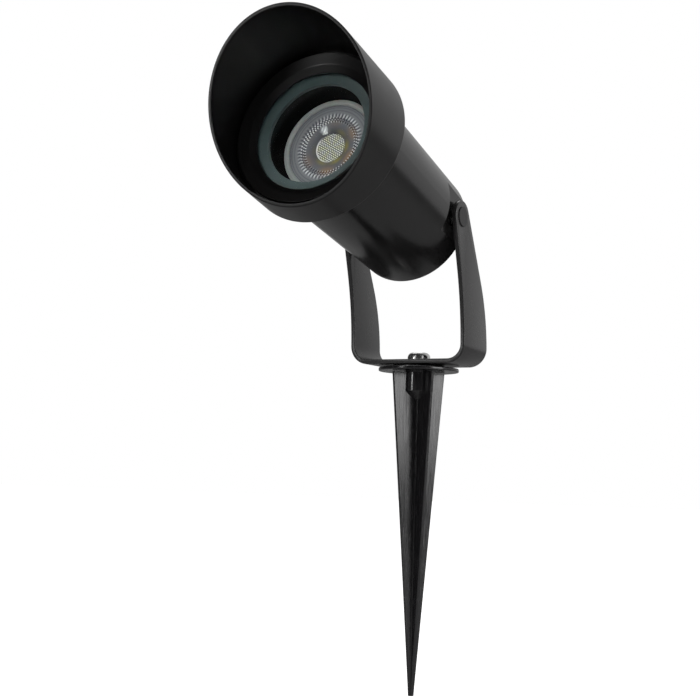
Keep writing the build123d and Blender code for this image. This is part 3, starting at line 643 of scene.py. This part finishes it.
def ramp(value, low, high):
    """0 below low, 1 above high, and a smooth step between."""
    t = np.clip((value - low) / (high - low), 0, 1)
    return t * t * (3 - 2 * t)


def bell(value, middle, width):
    """1 at middle and less on both sides of it: exp(-((value - middle) / width)^2)."""
    return np.exp(-(((value - middle) / width) ** 2))


def honeycomb(x, y, pitch):
    """Height of domes on a hexagonal lattice: the sum of three cosine waves 60 degrees apart, as 0 to 1."""
    k = 2 * math.pi / (pitch * math.sqrt(3) / 2)
    waves = [np.cos(k * (x * math.cos(a) + y * math.sin(a))) for a in np.radians([0, 60, 120])]
    return (sum(waves) + 1.5) / 4.5


def optic_height(r, turn):
    """Height of the optic's front against the rim's face, where a ramp leads from each zone to the next.

    The eye is a plane of small domes. The cup rises with the radius and a little with its square. On the
    band, ridges that follow the absolute cosine of the turn stand on a slope, higher on two rows of beads.
    """
    eye = EYE_LEVEL + 0.22 * honeycomb(r * np.cos(turn), r * np.sin(turn), CELL)
    cup = CUP_LEVEL + 0.15 * (r - EYE_R) + 0.004 * (r - EYE_R) ** 2
    ridge = np.abs(np.cos(PRISMS * turn / 2))
    prisms = 0.28 * ramp(r, CUP_R + 1.8, CUP_R + 3) * (1 - ramp(r, PRISM_R - 1.5, PRISM_R))
    beads = 0.35 * bell(r, CUP_R + 0.6, 0.4) + 0.25 * bell(r, CUP_R + 1.7, 0.4)
    band = BAND_LEVEL + 0.35 * (r - CUP_R) / (PRISM_R - CUP_R) + (prisms + beads) * ridge
    height = eye + (cup - eye) * ramp(r, EYE_R, EYE_R + 0.25)
    height = height + (band - height) * ramp(r, CUP_R - 0.1, CUP_R + 0.3)
    return height + (EDGE_LEVEL - height) * ramp(r, PRISM_R - 0.2, PRISM_R + 0.4)


# %% The optic's surface
RIM_GAP = 0.05                       # between the optic and the rim round it
SIDE_FRONT = 83.9                    # stations where the optic's side starts and ends
SIDE_REAR = 83.2
BACK_R = 8.0                         # radius of its flat back
edge = optic_r - RIM_GAP
front_r = np.concatenate([np.linspace(0, EYE_R, 46), np.linspace(EYE_R + 0.06, EYE_R + 0.3, 4),
                          np.linspace(EYE_R + 0.6, CUP_R - 0.2, 12), np.linspace(CUP_R, CUP_R + 3, 30),
                          np.linspace(CUP_R + 3.3, edge, 20)])[:, None]
turn = np.linspace(0, 2 * math.pi, PRISMS * 10, endpoint=False)[None]
front = around(front_r, turn, lamp_face + optic_height(front_r, turn))
back_r = np.array([edge, edge, BACK_R, 0.0])[:, None]
back_s = np.array([SIDE_FRONT, SIDE_REAR, optic_rear, optic_rear])[:, None]
optic = skin("lamp_optic", np.concatenate([front, around(back_r, turn, back_s)]), ring_rows=False,
             material=lens_plastic)
print("The optic's front is", 2 * edge, "mm across, with", PRISMS, "prisms")

# %% [markdown]
# ## What the optic shows
# A lens shows the room and the chips behind it, bent into bright and dark spots. These are painted on its
# points as one tint of painted light, with the same zones and the same ridges as its shape: painted
# highlights on the cells of the eye, a cup painted dim with painted warm and orange rings of the chips'
# light, painted highlights on ridges and beads that swell and fade with the turn, a painted bright crescent
# on the eye's edge, and painted dark lines of fine grooves on the edge. The sparkle multiplies waves with
# unlike counts, so it looks uneven.

# %% What the optic shows
EDGE_GROOVES = (19.4, 20.9, 21.9)    # radii of the fine grooves on the flat edge
BEAD_ROWS = (0.3, 1.3, 2.3)          # radii of the rows of beads, beyond the cup


def bead_rows(r):
    """1 on the rows of beads, where the gaps between them are painted dark, and 0 away from them."""
    return ramp(r, CUP_R - 0.1, CUP_R + 0.3) * (1 - ramp(r, CUP_R + 2.2, CUP_R + 2.8))


def glint(x, y):
    """Red, green and blue of the optic at x, y, in millimetres from its middle.

    Each zone has its grey, and a ramp leads from one to the next. All of it is painted light: highlights on
    the cells, ridges, beads and the eye's edge, shade in the cup and the grooves, and the chips' warm and
    orange glow. Ridges and beads are powers of the absolute cosine of the turn, so they are narrow. The rings
    of the chips repeat six times round.
    """
    r, turn = np.hypot(x, y), np.arctan2(y, x)
    # painted light from the chips behind the optic: warm and orange rings, brighter on one side
    chips = 0.5 + 0.5 * np.cos(6 * turn)
    side = 0.55 + 0.45 * np.cos(turn + 0.7)
    painted_chip_warm = bell(r, EYE_R + 1.3, 1.3) * (0.3 + 0.7 * chips) * side
    painted_chip_orange = bell(r, CUP_R - 0.3, 2.2) * (1 - chips) * side

    # painted highlights on the cells of the eye, and a painted dim cup round it
    cell = ramp(honeycomb(x, y, CELL), 0.22, 0.62)
    grey = np.where(r < EYE_R, 0.15 + 0.85 * cell, 0.09 + 0.07 * ramp(r, EYE_R, CUP_R))

    # painted highlights on the prism ridges, swelling and fading with the turn
    ridge = np.abs(np.cos(PRISMS * turn / 2)) ** 3
    swell = 0.62 + 0.38 * np.cos(2 * turn - 2.1)
    sparkle = swell * (0.75 + 0.25 * np.cos(17 * turn) * np.cos(23 * turn + 1))
    grey = grey + (0.11 + 0.89 * ridge * sparkle - grey) * ramp(r, CUP_R - 0.2, CUP_R + 0.5)

    # painted highlights on the beads, and painted shade in the gaps between them
    beads = sum(bell(r, CUP_R + row, 0.33) * np.abs(np.cos(PRISMS * turn / 2 + row)) ** 6
                for row in BEAD_ROWS)
    grey = grey * (1 - 0.75 * bead_rows(r)) + 1.6 * beads * (0.6 + 0.4 * np.cos(2 * turn + 1.2))

    # painted dark lines of the fine grooves on the flat edge
    grooves = sum(bell(r, groove, 0.22) for groove in EDGE_GROOVES)
    grey = grey + (0.25 - 0.10 * grooves - grey) * ramp(r, PRISM_R - 1.6, PRISM_R)

    # a painted bright crescent on the eye's edge
    painted_crescent = bell(r, EYE_R + 0.15, 0.2) * ramp(-np.cos(turn - 0.6), 0.0, 0.8)
    grey = grey + painted_crescent
    yellow = np.where(r < EYE_R, 0.1 + 0.45 * chips, 0.6 * painted_chip_warm)
    red = grey + 0.17 * painted_chip_warm + 0.15 * painted_chip_orange
    green = grey + 0.13 * painted_chip_warm + 0.04 * painted_chip_orange
    blue = (grey + 0.02) * (1 - 0.5 * yellow) - 0.05 * painted_chip_orange
    return np.clip(np.stack([red, green, blue], -1), 0.02, 1.0)


points = np.array([v.co for v in optic.data.vertices]) / MM - pivot
tint = glint(points @ across, points @ upward)
layer = optic.data.color_attributes.new("glint", "FLOAT_COLOR", "POINT")
layer.data.foreach_set("color", np.concatenate([tint, np.ones((len(tint), 1))], 1).ravel())
stand_in(optic, "lamp_lens", "lamp")

# %% [markdown]
# ## Studio
# The photograph is a cut-out on white. Its black finishes show what stood round it: a bright backdrop
# behind, a large soft box on the right that lights the faces of the spike, and a dark room in front and on
# the left. So the sky is chosen by the kind of ray. The camera sees white, also through the glass. Gloss
# sees a backdrop that fades towards the front and left, and all else is lit evenly. Light can't be aimed
# through clear glass, and what lies behind it would be nearly black: so rays that leave those pieces
# through the glass meet a sky of their own.

# %% Sky
SKY_LIGHT = 0.5
GLOSS_BACK = 0.57
GLOSS_FRONT = 0.03
FRONT_LIGHT = 3.7                    # the sky as the pieces behind the glass see it
world = bpy.data.worlds.new("white_studio")
bpy.context.scene.world = world
world.use_nodes = True
sky = world.node_tree
sky.nodes.clear()


def background(strength):
    """A white sky of a given strength."""
    shade = sky.nodes.new("ShaderNodeBackground")
    shade.inputs["Color"].default_value = (1, 1, 1, 1)
    shade.inputs["Strength"].default_value = strength
    return shade


def choose(tree, factor, first, second):
    """A mix of two shaders: first where factor is 0, second where it is 1."""
    mix = tree.nodes.new("ShaderNodeMixShader")
    tree.links.new(factor, mix.inputs[0])
    tree.links.new(first.outputs[0], mix.inputs[1])
    tree.links.new(second.outputs[0], mix.inputs[2])
    return mix


def combine(tree, operation, first, second):
    """One number from two outputs, or from an output and a plain number."""
    made = tree.nodes.new("ShaderNodeMath")
    made.operation = operation
    tree.links.new(first, made.inputs[0])
    if isinstance(second, float):
        made.inputs[1].default_value = second
    else:
        tree.links.new(second, made.inputs[1])
    return made.outputs[0]


def ray_kinds(tree):
    """Three outputs that are 1 or 0, for how a ray comes to be here.

    The first is 1 for what the camera sees, also through clear pieces. The second is 1 after a bounce off
    gloss. The third is 1 for a ray that bounced off a dull piece and then left through the glass.
    """
    path = tree.nodes.new("ShaderNodeLightPath")
    scattered = combine(tree, "GREATER_THAN", path.outputs["Diffuse Depth"], 0.5)
    glossy = combine(tree, "GREATER_THAN", path.outputs["Glossy Depth"], 0.5)
    bounced = combine(tree, "MAXIMUM", scattered, glossy)
    through = combine(tree, "GREATER_THAN", path.outputs["Is Transmission Ray"], bounced)
    direct = combine(tree, "MAXIMUM", path.outputs["Is Camera Ray"], through)
    inward = combine(tree, "MULTIPLY", path.outputs["Is Transmission Ray"], scattered)
    return direct, glossy, inward


direct, glossy, inward = ray_kinds(sky)
direction = sky.nodes.new("ShaderNodeTexCoord")
parts = sky.nodes.new("ShaderNodeSeparateXYZ")
sky.links.new(direction.outputs["Generated"], parts.inputs[0])
rightward = combine(sky, "MULTIPLY", parts.outputs["X"], 0.5)
behind = combine(sky, "ADD", parts.outputs["Y"], rightward)
fade = sky.nodes.new("ShaderNodeMapRange")
limits = {"From Min": -0.4, "From Max": 1.0, "To Min": GLOSS_FRONT, "To Max": GLOSS_BACK}
for socket, value in limits.items():
    fade.inputs[socket].default_value = value
sky.links.new(behind, fade.inputs["Value"])
gloss_sky = background(GLOSS_BACK)
sky.links.new(fade.outputs[0], gloss_sky.inputs["Strength"])
lighting = choose(sky, glossy, background(SKY_LIGHT), gloss_sky)
lighting = choose(sky, inward, lighting, background(FRONT_LIGHT))
output = sky.nodes.new("ShaderNodeOutputWorld")
sky.links.new(choose(sky, direct, lighting, background(1.0)).outputs[0], output.inputs["Surface"])
print("The sky has", len(sky.nodes), "nodes")

# %% [markdown]
# ## Floor
# The floor lies just under the tip. It is pale paint that glows a little for the camera, so that it goes
# over into the white sky, and the object's shadow still shows on it.

# %% Floor
FLOOR_SIZE = 6.0                     # metres from the middle to each edge
FLOOR_GAP = 0.002
FLOOR_GLOW = 0.9
floor_z = cad_low.z - FLOOR_GAP
corner = np.array([-FLOOR_SIZE, FLOOR_SIZE])
floor_x, floor_y = np.meshgrid(corner, corner)
floor_grid = np.stack([floor_x, floor_y, np.full_like(floor_x, floor_z)], -1)
floor_paint = finish("pale_floor", (0.62, 0.62, 0.62), 0.9)
floor_tree = floor_paint.node_tree
paint = floor_tree.nodes["Principled BSDF"]
glow = floor_tree.nodes.new("ShaderNodeEmission")
glow.inputs["Strength"].default_value = FLOOR_GLOW
join = floor_tree.nodes.new("ShaderNodeAddShader")
floor_tree.links.new(paint.outputs[0], join.inputs[0])
floor_tree.links.new(glow.outputs[0], join.inputs[1])
direct, _, inward = ray_kinds(floor_tree)
lit = choose(floor_tree, combine(floor_tree, "MAXIMUM", direct, inward), paint, join)
floor_tree.links.new(lit.outputs[0], floor_tree.nodes["Material Output"].inputs["Surface"])
floor = skin("floor", floor_grid, ring_rows=False, ring_columns=False, material=floor_paint)
print("The floor lies at", round(floor_z / MM, 1), "mm")

# %% [markdown]
# ## Lamps
# Four soft lamps draw the highlights. The large one on the right lights the spike's faces. A small one in
# front on the left and above lights the glass ring and the shield's rim. One behind on the left lights the
# head from above. The last is small, in front on the left and low, and it draws the narrow line on the boss
# under the flange.

# %% Lamps
def soft_lamp(name, place, size, watts, aim=(0, -0.05, 0.05)):
    """A square area lamp at place, facing aim."""
    data = bpy.data.lights.new(name, "AREA")
    data.size = size
    data.energy = watts
    lamp = bpy.data.objects.new(name, data)
    bpy.context.scene.collection.objects.link(lamp)
    lamp.location = place
    lamp.rotation_euler = (Vector(aim) - Vector(place)).to_track_quat("-Z", "Y").to_euler()
    print(name, "at", place, "with", watts, "W")


soft_lamp("right_soft_box", (1.25, -0.22, 0.34), 0.75, 7.5)
soft_lamp("front_spot", (-0.53, -1.37, 0.705), 0.11, 1.2, (0, -0.12, 0.1))
soft_lamp("back_left", (-0.5, 0.7, 1.2), 0.8, 3.0)
soft_lamp("front_low", (-0.475, -0.99, 0.095), 0.12, 0.6, (0, 0, 0))

# %% [markdown]
# ## Camera
# The camera's place comes from matching the object's edges in the photograph: it stands to the right, a
# little below the soil line, looks up by about five degrees, and is turned less than two degrees about its
# own line of sight. Its focal length is measured in pixels, and a sensor's width makes it millimetres.

# %% Camera
PHOTO = 700                          # the photograph is this many pixels wide and high
FOCAL_PX = 1386.4
SENSOR = 36.0
VIEW_TURN = math.radians(28.429)
VIEW_RISE = math.radians(5.205)
ROLL = math.radians(1.672)
DISTANCE = 0.78178                   # metres from the camera to the point that it aims at
AIM = Vector((-0.04318, 0.0, 0.01284))

sight = Vector((-math.sin(VIEW_TURN) * math.cos(VIEW_RISE), math.cos(VIEW_TURN) * math.cos(VIEW_RISE),
                math.sin(VIEW_RISE)))
level = sight.cross(Vector((0, 0, 1))).normalized()
over = level.cross(sight)
camera_x = level * math.cos(ROLL) + over * math.sin(ROLL)
camera_y = over * math.cos(ROLL) - level * math.sin(ROLL)
camera_data = bpy.data.cameras.new("camera")
camera_data.sensor_width = SENSOR
camera_data.lens = FOCAL_PX / PHOTO * camera_data.sensor_width
camera_data.clip_start = 0.01
camera = bpy.data.objects.new("camera", camera_data)
bpy.context.scene.collection.objects.link(camera)
axes = Matrix((camera_x, camera_y, -sight)).transposed()
camera.matrix_world = Matrix.Translation(AIM - sight * DISTANCE) @ axes.to_4x4()
bpy.context.scene.camera = camera
bpy.context.scene.view_settings.view_transform = "Standard"
print("The camera stands at", [round(v, 3) for v in camera.matrix_world.translation])
